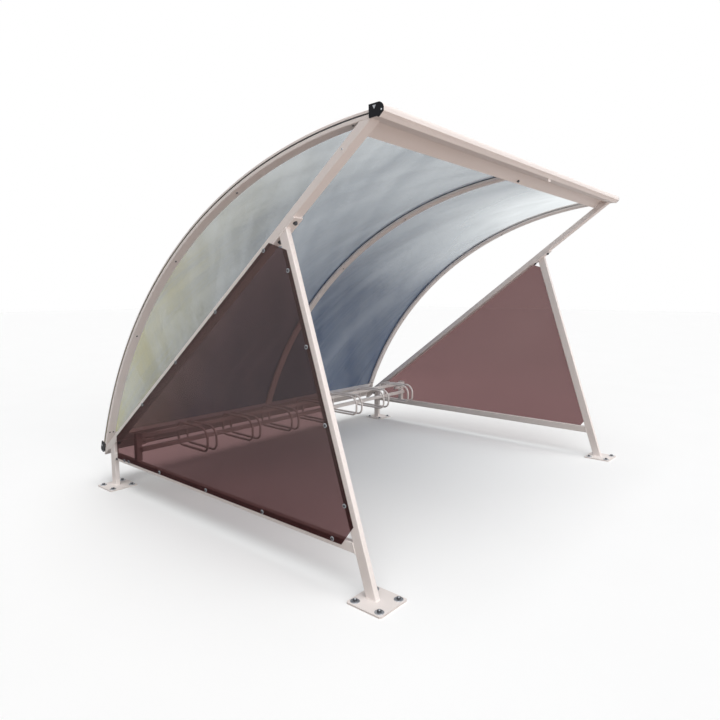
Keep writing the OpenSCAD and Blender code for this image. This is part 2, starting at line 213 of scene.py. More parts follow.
# The side plane: Y and Z of the end frames
FRONT_FOOT = np.array([middle("left_front_foot")[1] + FOOT_SET, 0.0])
FRONT_HEAD = FRONT_FOOT + [LEG_RAKE, FRONT_LEG_H]
BACK_HEAD = FRONT_FOOT + [LEG_SPACING, BACK_LEG_H]
HEAD_SPACING = np.linalg.norm(BACK_HEAD - FRONT_HEAD)
CHORD_ALONG = unit(BACK_HEAD - FRONT_HEAD)
CHORD_UP = np.array([-CHORD_ALONG[1], CHORD_ALONG[0]])
LEG_ALONG = unit(FRONT_HEAD - FRONT_FOOT)
LEG_BACK = np.array([LEG_ALONG[1], -LEG_ALONG[0]])
CHORD_END = HEAD_SPACING + BACK_OVERHANG
CHORD_MID = (CHORD_END - FRONT_OVERHANG) / 2
ARCH_DROP = math.sqrt(ARCH_R ** 2 - (CHORD_END - CHORD_MID) ** 2)
SHEET_R = ARCH_R + ARCH_DEPTH
STRIP_TOP_R = SHEET_R + SHEET_T + STRIP_H


def chord_point(along, up):
    """Points of the side plane, from distances along the chord's underside and square to it."""
    return FRONT_HEAD + np.multiply.outer(along, CHORD_ALONG) + np.multiply.outer(up, CHORD_UP)


ARCH_CENTRE = chord_point(CHORD_MID, -ARCH_DROP)


def arch_point(angle, radius):
    """Points of the side plane on a circle about the arch centre."""
    angle = np.asarray(angle, float)
    return ARCH_CENTRE + radius * np.stack([np.cos(angle), np.sin(angle)], -1)


def edge_point(angle, past, radius, along):
    """Points beside the roof's edge, from distances along the radius and past the end of the sheets."""
    outwards = np.array([math.cos(angle), math.sin(angle)])
    onwards = past * np.array([-outwards[1], outwards[0]])
    return ARCH_CENTRE + np.multiply.outer(ARCH_R + radius, outwards) + np.multiply.outer(along, onwards)


def meet(point, along, other, other_along):
    """Where two lines of the side plane meet, each given by a point and a direction."""
    gap = np.subtract(other, point)
    turn = along[0] * other_along[1] - along[1] * other_along[0]
    return point + np.asarray(along) * (gap[0] * other_along[1] - gap[1] * other_along[0]) / turn


def in_space(x, side):
    """Points of the side plane set at a place along the shelter."""
    side = np.asarray(side, float)
    return np.concatenate([np.broadcast_to(x, side.shape[:-1])[..., None], side], -1)


def both_ends(points):
    """The given points and their mirror images at the other end of the shelter."""
    return np.concatenate([points, points * [-1, 1, 1]])


# Surfaces: each is a pair of an array of points and a list of arrays of faces

def grid_faces(rows, columns, round_rows=False, round_columns=False):
    """Quads between neighbours on a grid of points stored row by row, closed round either way."""
    i, j = np.meshgrid(np.arange(rows if round_rows else rows - 1),
                       np.arange(columns if round_columns else columns - 1), indexing="ij")
    down, across = (i + 1) % rows, (j + 1) % columns
    corners = [i * columns + j, down * columns + j, down * columns + across, i * columns + across]
    return np.stack(corners, -1).reshape(-1, 4)


def turned(profile, sides=24, flats=None, ring=False):
    """Profile points (radius, height) carried round the axis, the radius kept within a hexagon of the
    given width across flats. A ring's profile closes on itself; other ends are capped."""
    profile = np.asarray(profile, float)
    angle = np.arange(sides) * 2 * math.pi / sides
    radius = np.broadcast_to(profile[:, 0], (sides, len(profile)))
    if flats:
        reach = flats / 2 / np.cos((angle + math.pi / 6) % (math.pi / 3) - math.pi / 6)
        radius = np.minimum(radius, reach[:, None])
    height = np.broadcast_to(profile[:, 1], radius.shape)
    points = np.stack([radius * np.cos(angle)[:, None], radius * np.sin(angle)[:, None], height], -1)
    faces = [grid_faces(sides, len(profile), True, ring)]
    if not ring:
        rim = np.arange(sides) * len(profile)
        faces += [rim[None, ::-1], rim[None] + len(profile) - 1]
    return points.reshape(-1, 3), faces


def carried(path, up, section, swell=None, closed=False):
    """Section points (side, up) carried along a path, made wider or narrower by swell at each place on
    it; side is the path's direction crossed with up."""
    path, section = np.asarray(path, float), np.asarray(section, float)
    along = np.roll(path, -1, 0) - np.roll(path, 1, 0) if closed else np.gradient(path, axis=0)
    along = unit(along)
    up = np.broadcast_to(np.asarray(up, float), path.shape)
    up = unit(up - along * np.sum(along * up, -1, keepdims=True))
    side = np.cross(along, up)
    swell = np.ones(len(path)) if swell is None else swell
    spread = swell[:, None, None] * section
    points = path[:, None] + spread[..., :1] * side[:, None] + spread[..., 1:] * up[:, None]
    faces = [grid_faces(len(path), len(section), closed, True)]
    if not closed:
        rim = np.arange(len(section))[None]
        faces += [rim, rim[:, ::-1] + (len(path) - 1) * len(section)]
    return points.reshape(-1, 3), faces


def joined(*shapes):
    """Several shapes as one."""
    starts = np.cumsum([0] + [len(points) for points, _ in shapes])
    faces = [f + start for (_, group), start in zip(shapes, starts) for f in group]
    return np.concatenate([points for points, _ in shapes]), faces


def copies(shape, places, axes):
    """A shape at many places, its height turned along an axis at each."""
    points, faces = shape
    places = np.asarray(places, float)
    high = unit(np.broadcast_to(axes, places.shape))
    aside = np.where(np.abs(high[:, :1]) > 0.9, [0.0, 1.0, 0.0], [1.0, 0.0, 0.0])
    wide = unit(aside - high * np.sum(aside * high, -1, keepdims=True))
    turns = np.stack([wide, np.cross(high, wide), high], 1)
    points = places[:, None] + np.einsum("kj,cji->cki", points, turns)
    starts = np.arange(len(places))[:, None, None] * points.shape[1]
    return points.reshape(-1, 3), [(f + starts).reshape(-1, f.shape[-1]) for f in faces]


def mirrored(shape):
    """A shape and the way its faces turn, at the other end of the shelter."""
    points, faces = shape
    return points * [-1, 1, 1], [f[:, ::-1] for f in faces]


def circle(radius, count):
    """Points round a circle, once, against the clock."""
    angle = np.arange(count) * 2 * math.pi / count
    return radius * np.stack([np.cos(angle), np.sin(angle)], -1)


def rounded(wide, deep, radius, steps=5):
    """Points round a rectangle whose corners are quarter circles about four inner points."""
    angle = (np.arange(4 * steps) + 0.5) * math.pi / (2 * steps)
    ring = np.stack([np.cos(angle), np.sin(angle)], -1)
    return np.sign(ring) * (np.array([wide, deep]) / 2 - radius) + radius * ring


def inset(outline, distance):
    """A convex outline moved inwards: each corner goes along the sum of its two edges' normals."""
    edge = unit(np.roll(outline, -1, 0) - outline)
    normal = np.stack([-edge[:, 1], edge[:, 0]], -1)
    before = np.roll(normal, 1, 0)
    return outline + distance * (before + normal) / (1 + np.sum(before * normal, -1, keepdims=True))


def plate(outline, low, high, ease):
    """A flat sheet with eased edges: its outline, moved inwards at both faces, carried across it."""
    rings = [(ease, low), (0.0, low + ease), (0.0, high - ease), (ease, high)]
    points = np.stack([in_space(x, inset(outline, distance)) for distance, x in rings])
    corners = np.arange(len(outline))[None]
    faces = [grid_faces(len(rings), len(outline), False, True)[:, ::-1], corners[:, ::-1],
             corners + (len(rings) - 1) * len(outline)]
    return points.reshape(-1, 3), faces


def evenly(path, step, closed, least=6):
    """Points at even distances along a path, found on its running length."""
    path = np.concatenate([path, path[:1]]) if closed else np.asarray(path, float)
    run = np.concatenate([[0.0], np.cumsum(np.linalg.norm(np.diff(path, axis=0), axis=-1))])
    at = np.linspace(0.0, run[-1], max(least, round(run[-1] / step)), endpoint=not closed)
    return np.stack([np.interp(at, run, axis) for axis in path.T], -1)


def weld(path, up, closed=False):
    """A bead along a path, round in section, that swells and narrows once in each run of the torch."""
    path = evenly(path, WELD_PITCH / WELD_STEPS, closed)
    swell = 1 + WELD_RIPPLE * np.cos(np.arange(len(path)) * 2 * math.pi / WELD_STEPS)
    return carried(path, up, circle(WELD_R, count=8), swell, closed)


def piece(name, shape, finish, crease_deg=CREASE_DEG):
    """A mesh of a shape with a finish, fixed to the shelter."""
    points, faces = shape
    mesh = bpy.data.meshes.new(name)
    mesh.from_pydata(points.tolist(), [], [face for group in faces for face in group.tolist()])
    mesh.materials.append(finish)
    mesh.polygons.foreach_set("use_smooth", np.ones(len(mesh.polygons), bool))
    mesh.set_sharp_from_angle(angle=math.radians(crease_deg))
    made = bpy.data.objects.new(name, mesh)
    bpy.context.scene.collection.objects.link(made)
    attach(made, "root")
    return made


# Shader maths

class Wire:
    """A shader socket in an expression: arithmetic on it adds Math nodes to its tree."""

    def __init__(self, finish, socket):
        self.finish = finish
        self.socket = socket

    def math(self, operation, first, second):
        """One Math node on two values."""
        return self.finish.node("ShaderNodeMath", {"operation": operation}, {0: first, 1: second})

    def __add__(self, other):
        return self.math("ADD", self, other)

    def __sub__(self, other):
        return self.math("SUBTRACT", self, other)

    def __mul__(self, other):
        return self.math("MULTIPLY", self, other)

    def __truediv__(self, other):
        return self.math("DIVIDE", self, other)

    def __rsub__(self, other):
        return self.math("SUBTRACT", other, self)

    def __rtruediv__(self, other):
        return self.math("DIVIDE", other, self)

    def __or__(self, other):
        return self.math("MAXIMUM", self, other)

    __radd__ = __add__
    __rmul__ = __mul__
    __ror__ = __or__


class Finish:
    """A node tree under construction, of a material or of the world."""

    def __init__(self, owner):
        self.owner = owner
        owner.use_nodes = True
        self.tree = owner.node_tree
        self.tree.nodes.clear()

    def node(self, kind, settings=None, sockets=None, out=0):
        """Adds a node, sets it up, then gives its sockets values or links. Returns one output."""
        made = self.tree.nodes.new(kind)
        for name, value in (settings or {}).items():
            if name == "stops":
                self.stops(made.color_ramp, value)
            else:
                setattr(made, name, value)
        for name, value in (sockets or {}).items():
            if isinstance(value, Wire):
                self.tree.links.new(value.socket, made.inputs[name])
            else:
                made.inputs[name].default_value = value
        return Wire(self, made.outputs[out]) if made.outputs else None

    def stops(self, ramp, stops):
        """Places a ramp's stops, each a position and a grey level."""
        while len(ramp.elements) < len(stops):
            ramp.elements.new(1.0)
        for element, (place, level) in zip(ramp.elements, stops):
            element.position = place
            element.color = rgba((level,) * 3)

    def ramp(self, value, *stops):
        """A value led through stops, each a position and a level."""
        return self.node("ShaderNodeValToRGB", {"stops": stops}, {"Fac": value})

    def coords(self):
        """Place on the shelter, in metres."""
        return self.node("ShaderNodeTexCoord", out="Object")

    def parts(self, vector):
        """The three numbers of a vector."""
        split = self.node("ShaderNodeSeparateXYZ", None, {0: vector}).socket.node
        return [Wire(self, out) for out in split.outputs]

    def stretched(self, scale, turn=(0, 0, 0)):
        """Places turned and stretched, for patterns that run one way."""
        sockets = {"Vector": self.coords(), "Rotation": turn, "Scale": scale}
        return self.node("ShaderNodeMapping", None, sockets)

    def noise(self, scale, detail=2.0, roughness=0.5, where=None):
        """Cloudy noise from 0 to 1, with so many clouds to the metre."""
        where = where or self.coords()
        sockets = {"Vector": where, "Scale": scale, "Detail": detail, "Roughness": roughness}
        return self.node("ShaderNodeTexNoise", None, sockets)

    def mix(self, factor, first, second):
        """Two colours mixed."""
        first, second = (c if isinstance(c, Wire) else rgba(c) for c in (first, second))
        return self.node("ShaderNodeMix", {"data_type": "RGBA"}, {0: factor, 6: first, 7: second}, out=2)

    def bump(self, height, distance, strength):
        """A normal tilted by a height, whose full step is a distance in metres."""
        sockets = {"Height": height, "Distance": distance, "Strength": strength}
        return self.node("ShaderNodeBump", None, sockets)

    def principled(self, sockets):
        """The shader of a solid surface."""
        return self.node("ShaderNodeBsdfPrincipled", None, sockets)

    def blend(self, factor, first, second):
        """Two shaders mixed."""
        return self.node("ShaderNodeMixShader", None, {0: factor, 1: first, 2: second})

    def done(self, shader):
        """Puts a shader on the surface and returns the material or world."""
        kind = "World" if isinstance(self.owner, bpy.types.World) else "Material"
        self.node("ShaderNodeOutput" + kind, None, {"Surface": shader})
        return self.owner


def rgba(colour):
    """A colour with its alpha of one."""
    return (*colour, 1.0)


def shade(colour, level):
    """A colour made lighter or darker."""
    return tuple(level * part for part in colour)


def new_finish(name):
    """The empty node tree of a new material."""
    return Finish(bpy.data.materials.new(name))


# Colours: where a finish has two, it varies from the first to the second
PAINT = (0.87, 0.81, 0.787)
# A dull brown: the rain marks on the coat, and its darker tone towards the ground
DULL_BROWN = (0.47, 0.4, 0.35)
PRIMER = (0.33, 0.28, 0.25)
# Roof film: the thick colour lower down is partly painted shade
FILM_THIN = (0.32, 0.45, 0.62)
FILM_THICK_SHADE = (0.05, 0.1, 0.225)
FILM_GREEN = (0.66, 0.62, 0.22)
FILM_WIPED = (0.4, 0.48, 0.6)
ROOF_TINT = (0.915, 0.95, 0.963)
INNER_DUST = (0.5, 0.54, 0.56), (0.66, 0.68, 0.66)
INNER_TINT = (0.985, 0.99, 0.99)
SMOKE = (0.06, 0.036, 0.037), (0.095, 0.06, 0.06)
# The lighter grey that the smoked sheet turns towards its top
SMOKE_UPPER_GREY = (0.25, 0.225, 0.215)
SMOKE_TINT = (0.512, 0.388, 0.39)
CAP_PLASTIC = (0.008, 0.009, 0.012)
CAP_DUST = (0.06, 0.058, 0.056)
RUBBER = (0.05, 0.043, 0.041), (0.13, 0.115, 0.105)
ZINC_PLATE = (0.2, 0.21, 0.23), (0.62, 0.64, 0.67)
DARK_PLATE = (0.03, 0.03, 0.033), (0.14, 0.14, 0.15)

# The length and the height over which the film on the roof, with its painted shade and painted sky glare,
# changes, in metres, and how many times it changes to the metre along a streak
FILM_L = 3.0
FILM_SHADE_H = 2.2
STREAK_RUN = 0.6


# Finishes

def powder_coat(name, grain):
    """Satin off-white coat: soft mottling, a fine skin, rain marks that run one way, small chips, and a
    darker, browner tone that thickens towards the ground."""
    finish = new_finish(name)
    height = finish.parts(finish.coords())[2]
    mottle = finish.noise(2.3, 4.0, 0.6)
    streak = finish.noise(1.0, 3.0, 0.55, finish.stretched(grain))
    near_ground = finish.ramp(height + 0.3 * finish.noise(7.0, 4.0, 0.6), (0.1, 1.0), (0.75, 0.0))
    chip = finish.ramp(finish.noise(130.0, 3.0, 0.6), (0.7, 0.0), (0.74, 1.0))
    skin = finish.noise(850.0, 1.0)
    colour = finish.mix(mottle, shade(PAINT, 0.96), shade(PAINT, 1.03))
    # Darker and browner towards the ground
    colour = finish.mix(0.16 * near_ground, colour, DULL_BROWN)
    colour = finish.mix(0.12 * streak, colour, DULL_BROWN)
    colour = finish.mix(0.35 * chip, colour, PRIMER)
    return finish.done(finish.principled({
        "Base Color": colour,
        "Roughness": 0.34 + 0.12 * streak + 0.16 * near_ground,
        "Normal": finish.bump(skin - 0.6 * chip, 0.00015, 0.35),
    }))


def clear_layer(finish, tint):
    """The part of a sheet that lets light through."""
    return finish.node("ShaderNodeBsdfTransparent", None, {"Color": rgba(tint)})


def streak_places(finish, run, place, slope, fineness, slice_at):
    """Places for streaks that lean round the curve: drawn out along their run, squeezed across it."""
    along = STREAK_RUN * (run + slope * place)
    across = fineness * (place - slope * run)
    return finish.node("ShaderNodeCombineXYZ", None, {0: along, 1: across, 2: slice_at})


def roof_weathered():
    """Outer face of the clear sheets: a film, thin at the top and thick, bluish and darker lower down,
    where the darkening is partly painted shade; clearest at the top of the right end, a painted glare of
    the sky; greenish at the left end, with long streaks wiped slantwise both ways."""
    finish = new_finish("roof_sheet")
    place, back, height = finish.parts(finish.coords())
    angle = finish.node("ShaderNodeMath", {"operation": "ARCTAN2"},
                        {0: height - ARCH_CENTRE[1], 1: back - ARCH_CENTRE[0]})
    run = ARCH_R * angle
    slant = streak_places(finish, run, place, 0.4, 6.5, 0.7)
    wiped = finish.noise(1.0, 5.0, 0.56, slant)
    broad = finish.noise(0.25, 2.0, 0.5, slant)
    crossed = finish.noise(1.0, 5.0, 0.6, streak_places(finish, run, place, -0.55, 5.0, 4.1))
    cloud = finish.noise(0.9, 3.0, 0.55)
    drops = finish.noise(30.0, 3.0, 0.6)
    # Masks: low on the roof, for the film and its painted shade; its left end and left half; and the top
    # of its right end, for the painted glare of the sky
    to_right = place / FILM_L + 0.5
    low_shade_and_film = finish.ramp(height / FILM_SHADE_H + 0.16 * cloud - 0.08,
                       (0.3, 1.0), (0.62, 0.94), (0.86, 0.5), (0.98, 0.0))
    left_end = finish.ramp(to_right + 0.12 * cloud, (0.06, 1.0), (0.3, 0.0))
    left_half = finish.ramp(to_right, (0.2, 1.0), (0.55, 0.0))
    sky_glare_end = finish.ramp(to_right, (0.6, 0.0), (0.88, 1.0)) * (1 - low_shade_and_film)
    # Film colour: bluish and darker lower down, partly painted shade
    film = finish.mix(low_shade_and_film, FILM_THIN, FILM_THICK_SHADE)
    film = finish.mix(left_end * low_shade_and_film * (0.4 + 1.2 * crossed), film, FILM_GREEN)
    film = finish.mix(finish.ramp(wiped, (0.5, 0.0), (0.74, 0.5)), film, FILM_WIPED)
    # Film thickness: thicker lower down, partly painted shade, and much thinner at the top of the right
    # end, a painted glare of the sky
    thick = 0.5 + 0.4 * low_shade_and_film + 0.13 * (broad - 0.5) + 0.21 * (wiped - 0.5)
    thick = thick + (0.14 + 0.34 * left_half) * (crossed - 0.5) + 0.03 * drops
    thick = thick - 0.75 * sky_glare_end - 0.1 * left_end + 0.07 * left_half * (1 - 2.7 * low_shade_and_film)
    body = finish.principled({
        "Base Color": film,
        "Roughness": 0.3 + 0.2 * wiped + 0.06 * drops,
        "Specular IOR Level": 0.2,
        "Normal": finish.bump(finish.noise(14.0, 2.0), 0.002, 0.12),
    })
    return finish.done(finish.blend(thick, clear_layer(finish, ROOF_TINT), body))


def roof_polished():
    """Inner face of the clear sheets: glossy and nearly clear, with a little dust in clouds."""
    finish = new_finish("roof_sheet_inner")
    dust = finish.noise(3.0, 5.0, 0.6)
    body = finish.principled({
        "Base Color": finish.mix(dust, *INNER_DUST),
        "Roughness": 0.06 + 0.08 * dust,
    })
    return finish.done(finish.blend(0.02 + 0.03 * dust, clear_layer(finish, INNER_TINT), body))


def smoked_sheet():
    """Smoked glossy sheet, lighter and greyer towards its top. Light passes both of its faces, so the
    tint is the square root of the whole sheet's."""
    finish = new_finish("smoked_sheet")
    height = finish.parts(finish.coords())[2]
    smear = finish.noise(1.4, 4.0, 0.6, finish.stretched((1.0, 0.7, 2.2), (0.5, 0.0, 0.0)))
    dust = finish.noise(60.0, 4.0, 0.65)
    # Lighter and greyer towards the top of the sheet
    upper_grey = finish.ramp(height + 0.3 * smear, (0.4, 0.0), (0.95, 1.0))
    body = finish.principled({
        "Base Color": finish.mix(upper_grey, finish.mix(smear, *SMOKE), SMOKE_UPPER_GREY),
        "Roughness": 0.07 + 0.1 * smear + 0.04 * dust,
        "Specular IOR Level": 0.5,
    })
    thick = 0.05 + 0.04 * smear + 0.02 * dust + 0.1 * upper_grey
    return finish.done(finish.blend(thick, clear_layer(finish, SMOKE_TINT), body))


def moulded_black():
    """Black moulded plastic with a fine spark-eroded grain and dust in patches."""
    finish = new_finish("cap_plastic")
    grain = finish.noise(420.0, 2.0)
    dust = finish.noise(12.0, 4.0, 0.65)
    dusty = finish.ramp(dust, (0.5, 0.0), (0.8, 0.5))
    return finish.done(finish.principled({
        "Base Color": finish.mix(0.4 * dusty, CAP_PLASTIC, CAP_DUST),
        "Roughness": 0.3 + 0.2 * dust,
        "Specular IOR Level": 0.14,
        "Normal": finish.bump(grain, 0.0002, 0.5),
    }))


def plated(name, dark, bright):
    """Plated steel: small crystals from dark to bright, and duller patches."""
    finish = new_finish(name)
    grains = {"Vector": finish.coords(), "Scale": 600.0}
    crystal = finish.node("ShaderNodeTexVoronoi", None, grains, out="Color")
    spangle = finish.node("ShaderNodeSeparateColor", None, {0: crystal})
    patch = finish.noise(70.0, 4.0, 0.65)
    return finish.done(finish.principled({
        "Base Color": finish.mix(0.5 * spangle + 0.5 * patch, dark, bright),
        "Metallic": 1.0,
        "Roughness": 0.36 + 0.2 * patch,
        "Normal": finish.bump(patch, 0.0003, 0.3),
    }))


def rubber():
    """Dull black sealing strip with dusty patches."""
    finish = new_finish("seal_rubber")
    dust = finish.noise(30.0, 4.0, 0.6)
    return finish.done(finish.principled({
        "Base Color": finish.mix(dust, *RUBBER),
        "Roughness": 0.62 + 0.2 * dust,
        "Normal": finish.bump(finish.noise(500.0, 2.0), 0.0002, 0.4),
    }))


FRAME_PAINT = powder_coat("frame_paint", (3.0, 3.0, 0.6))
TRIM_PAINT = powder_coat("trim_paint", (0.5, 7.0, 7.0))
ROOF_OUTER = roof_weathered()
ROOF_INNER = roof_polished()
SMOKED_SHEET = smoked_sheet()
CAP_BLACK = moulded_black()
ZINC = plated("zinc_plate", *ZINC_PLATE)
DARK_STEEL = plated("dark_steel", *DARK_PLATE)
SEAL = rubber()

SLOT_FINISH = {"frame_paint": FRAME_PAINT, "trim_paint": TRIM_PAINT, "roof_sheet": ROOF_OUTER,
               "smoked_sheet": SMOKED_SHEET, "cap_plastic": CAP_BLACK}
for subpart in frame["record"]["subparts"]:
    node = frame["nodes"][subpart["node"]]
    node.data.materials.clear()
    node.data.materials.append(SLOT_FINISH[subpart["material_slot"]])


# Sheets: they stand where their solids do, a hair clear of the frame, with eased edges

def panel_outline():
    """Corners round a side panel: the frame's lines moved by the laps, and two corners cut off."""
    front = FRONT_FOOT + (LEG_DEPTH / 2 - PANEL_LEG_LAP) * LEG_BACK
    level = FRONT_FOOT + [0.0, RAIL_TOP - PANEL_RAIL_LAP]
    along_chord = chord_point(0.0, PANEL_CHORD_LAP)
    back = FRONT_FOOT + [LEG_SPACING - LEG_DEPTH / 2 - PANEL_BACK_GAP, 0.0]
    top = meet(front, LEG_ALONG, along_chord, CHORD_ALONG)
    low = meet(front, LEG_ALONG, level, (1.0, 0.0))
    return np.array([
        meet(back, (0.0, 1.0), along_chord, CHORD_ALONG),
        top + PANEL_TOP_CUT * CHORD_ALONG,
        top - PANEL_TOP_CUT * LEG_ALONG,
        low + PANEL_LOW_CUT * LEG_ALONG,
        low + [PANEL_LOW_CUT, 0.0],
        [back[0], level[1]]])


left_panel = plate(panel_outline(), -HALF_SPAN - PANEL_T, -HALF_SPAN - BEDDING, POLISHED_EDGE)
for end, panel in (("left", left_panel), ("right", mirrored(left_panel))):
    sheet = piece(end + "_smoked_panel", panel, SMOKED_SHEET, SHEET_CREASE_DEG)
    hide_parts(end + "_side_panel")

sheet_angles = np.linspace(ROOF_BACK, ROOF_FRONT, ROOF_STEPS)
sheet_rise = in_space(0.0, arch_point(sheet_angles, 1.0) - ARCH_CENTRE)
sheet_section = rounded(HALF_SPAN - SHEET_GAP / 2, SHEET_T - 2 * BEDDING, POLISHED_EDGE, steps=2)
for end, way in (("left", -1), ("right", 1)):
    middle_x = way * (HALF_SPAN + SHEET_GAP / 2) / 2
    path = in_space(middle_x, arch_point(sheet_angles, SHEET_R + SHEET_T / 2))
    bent = carried(path, sheet_rise, sheet_section)
    sheet = piece(end + "_clear_sheet", bent, ROOF_OUTER, SHEET_CREASE_DEG)
    sheet.data.materials.append(ROOF_INNER)
    middles = np.empty(3 * len(sheet.data.polygons))
    sheet.data.polygons.foreach_get("center", middles)
    radii = np.linalg.norm(middles.reshape(-1, 3)[:, 1:] - ARCH_CENTRE, axis=-1)
    sheet.data.polygons.foreach_set("material_index", (radii < SHEET_R + SHEET_T / 4).astype(int))
    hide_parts(end + "_roof_sheet")


# Fasteners

def washer(hole, outer, thick):
    """A flat ring with eased edges, standing on its place."""
    ease = thick / 4
    return turned([(hole, 0), (outer, 0), (outer, thick - ease), (outer - ease, thick),
                   (hole + ease, thick), (hole, thick - ease)], ring=True)


def hexagon(flats, low, high, cap_r):
    """A solid hexagon with a round bevel at its top, its two flat faces capped within a small circle."""
    corner = flats / math.sqrt(3)
    bevel = corner - flats / 2
    return turned([(cap_r, low), (corner, low), (corner, high - bevel / 2), (flats / 2, high),
                   (cap_r, high)], flats=flats)


def stud(radius, low, high):
    """A threaded end: the radius falls and rises once in each turn of the thread."""
    turns = round((high - low) / THREAD_PITCH)
    height = np.linspace(low, high - THREAD_PITCH, 2 * turns)
    ridge = radius - THREAD_DEPTH * (np.arange(2 * turns) % 2)
    profile = np.concatenate([np.stack([ridge, height], -1), [(radius - STUD_TAPER, high)]])
    return turned(profile, sides=16)


def button_head(radius, high, socket):
    """A domed head, a quarter ellipse turned round, with a round socket sunk into its top."""
    rise = np.linspace(0, math.pi / 2, DOME_STEPS, endpoint=False)
    dome = np.stack([socket + (radius - socket) * np.cos(rise), high * np.sin(rise)], -1)
    sunk = np.multiply([(1.0, 1.0), SOCKET_FLOOR, SOCKET_POINT], (socket, high))
    return turned(np.concatenate([[(radius, -HEAD_SINK)], dome, sunk]), sides=18)


def triangle(radius, high):
    """A three-sided plate with a bevelled top, a corner turned downwards on the shelter's outer faces."""
    points, faces = turned([(radius, 0.0), (radius, high / 2), (radius - high / 2, high)], sides=3)
    return points[:, [1, 0, 2]] * [-1, 1, 1], faces


UP = np.array([0.0, 0.0, 1.0])
OUT_LEFT = np.array([-1.0, 0.0, 0.0])
TO_FRONT = np.array([0.0, -1.0, 0.0])


def fasteners(name, shape, places, axes, finish=DARK_STEEL):
    """One shape at many places, as one piece."""
    return piece(name, copies(shape, places, axes), finish)


def bolt(washer_r, flats, head_top):
    """A hexagon head or nut on its washer."""
    thick = washer_r / 6
    return joined(washer(flats / 4, washer_r, thick), hexagon(flats, thick, head_top, flats / 12))


def on_outer_faces(side, stand=0.0):
    """Places on the outer faces of both end frames, and the directions away from them."""
    left = in_space(-HALF_SPAN - stand, np.atleast_2d(side))
    return both_ends(left), both_ends(np.broadcast_to(OUT_LEFT, left.shape))


# Anchors through the corners of the foot plates
feet = np.array([middle(node) * [1, 1, 0] + highest(node) * [0, 0, 1] for node in
                 ("left_front_foot", "right_front_foot", "left_back_foot", "right_back_foot")])
corners = ANCHOR_PITCH / 2 * np.array([(-1, -1, 0), (1, -1, 0), (1, 1, 0), (-1, 1, 0)])
anchors = (feet[:, None] + corners).reshape(-1, 3)
nut = hexagon(NUT_FLATS, ANCHOR_WASHER[2], NUT_TOP, NUT_CAP_R)
fasteners("anchor_washers", washer(*ANCHOR_WASHER), anchors, UP, ZINC)
fasteners("anchor_nuts", nut, anchors, UP)
fasteners("anchor_studs", stud(STUD_R, STUD_LOW, STUD_TOP), anchors, UP, ZINC)

# Screws along the edges of the side panels
row = np.arange(SCREWS_IN_ROW)
chord_run = CHORD_SCREW_FIRST + CHORD_SCREW_PITCH * row
leg_run = LEG_SCREW_FIRST + LEG_SCREW_PITCH * row
rail_run = RAIL_SCREW_FIRST + RAIL_SCREW_PITCH * row
on_chord = chord_point(chord_run, np.full(SCREWS_IN_ROW, CHORD_SCREW_UP))
on_leg = FRONT_FOOT + np.multiply.outer(leg_run, LEG_ALONG) + LEG_SCREW_BACK * LEG_BACK
on_rail = FRONT_FOOT + np.stack([rail_run, np.full(SCREWS_IN_ROW, RAIL_TOP - RAIL_SCREW_LAP)], -1)
panel_rows = np.concatenate([on_chord, on_leg, on_rail, FRONT_FOOT + CORNER_SCREWS_AT])
panel_places, panel_axes = on_outer_faces(panel_rows, PANEL_T)
panel_heads = panel_places + PANEL_WASHER[2] * panel_axes
fasteners("panel_screw_washers", washer(*PANEL_WASHER), panel_places, panel_axes, ZINC)
fasteners("panel_screws", button_head(*PANEL_SCREW), panel_heads, panel_axes)


# Screws under the arches and on the cover strips, and pairs of them at the arches' ends

def round_arches(angles, radius, across):
    """Places under or over the three arches, and the directions of their radii."""
    places = np.concatenate([in_space(x, arch_point(angles, radius)) for x in across])
    return places, np.tile(in_space(0.0, arch_point(angles, 1.0) - ARCH_CENTRE), (len(across), 1))


arch_x = np.array([FRAME_W / 2 - HALF_SPAN, 0.0, HALF_SPAN - FRAME_W / 2])
pair_x = np.concatenate([arch_x[[0, 2]] - PAIR_GAP / 2, arch_x[[0, 2]] + PAIR_GAP / 2])
under, under_axes = round_arches(ARCH_SCREWS_AT, ARCH_R, arch_x)
pairs, pair_axes = round_arches(ARCH_PAIRS_AT, ARCH_R, pair_x)
over, over_axes = round_arches(ARCH_SCREWS_AT, STRIP_TOP_R, arch_x)
fasteners("arch_screws", button_head(*ARCH_SCREW), under, -under_axes)
fasteners("arch_end_screws", button_head(*ARCH_END_SCREW), pairs, -pair_axes)
fasteners("strip_screws", bolt(*STRIP_BOLT), over, over_axes, ZINC)

# Bolts through the head plates, and small ones elsewhere on the frames
head_run = np.array([-HEAD_BOLT_SET, HEAD_BOLT_SET,
                     HEAD_SPACING - BACK_HEAD_BOLT_SET, HEAD_SPACING + BACK_HEAD_BOLT_SET])
head_side = chord_point(head_run, np.full(len(head_run), -HEAD_PLATE_T))
head_left = in_space(-HALF_SPAN + FRAME_W / 2, head_side)
fasteners("head_bolts", bolt(*HEAD_BOLT), both_ends(head_left), in_space(0.0, -CHORD_UP))
plugs = on_outer_faces(chord_point(*CHORD_PLUG_AT))
fasteners("chord_plugs", button_head(*CHORD_PLUG), *plugs, ZINC)
fasteners("rail_bolts", bolt(*FRAME_BOLT), *on_outer_faces(FRONT_FOOT + RAIL_BOLT_AT))
beam_bolt = in_space(BEAM_BOLT_X, chord_point([BEAM_BOLT_ALONG], [CHORD_DEPTH]))
fasteners("beam_bolt", bolt(*FRAME_BOLT), beam_bolt, in_space(0.0, -CHORD_UP))
socket_side = [[RACK_BACK, np.mean(RACK_LEVELS) + RACK_TUBE / 2]]
socket_left = in_space(POST_SIDE + SOCKET_L / 2 - HALF_SPAN, socket_side)
fasteners("socket_screws", button_head(*SOCKET_SCREW), both_ends(socket_left), TO_FRONT)

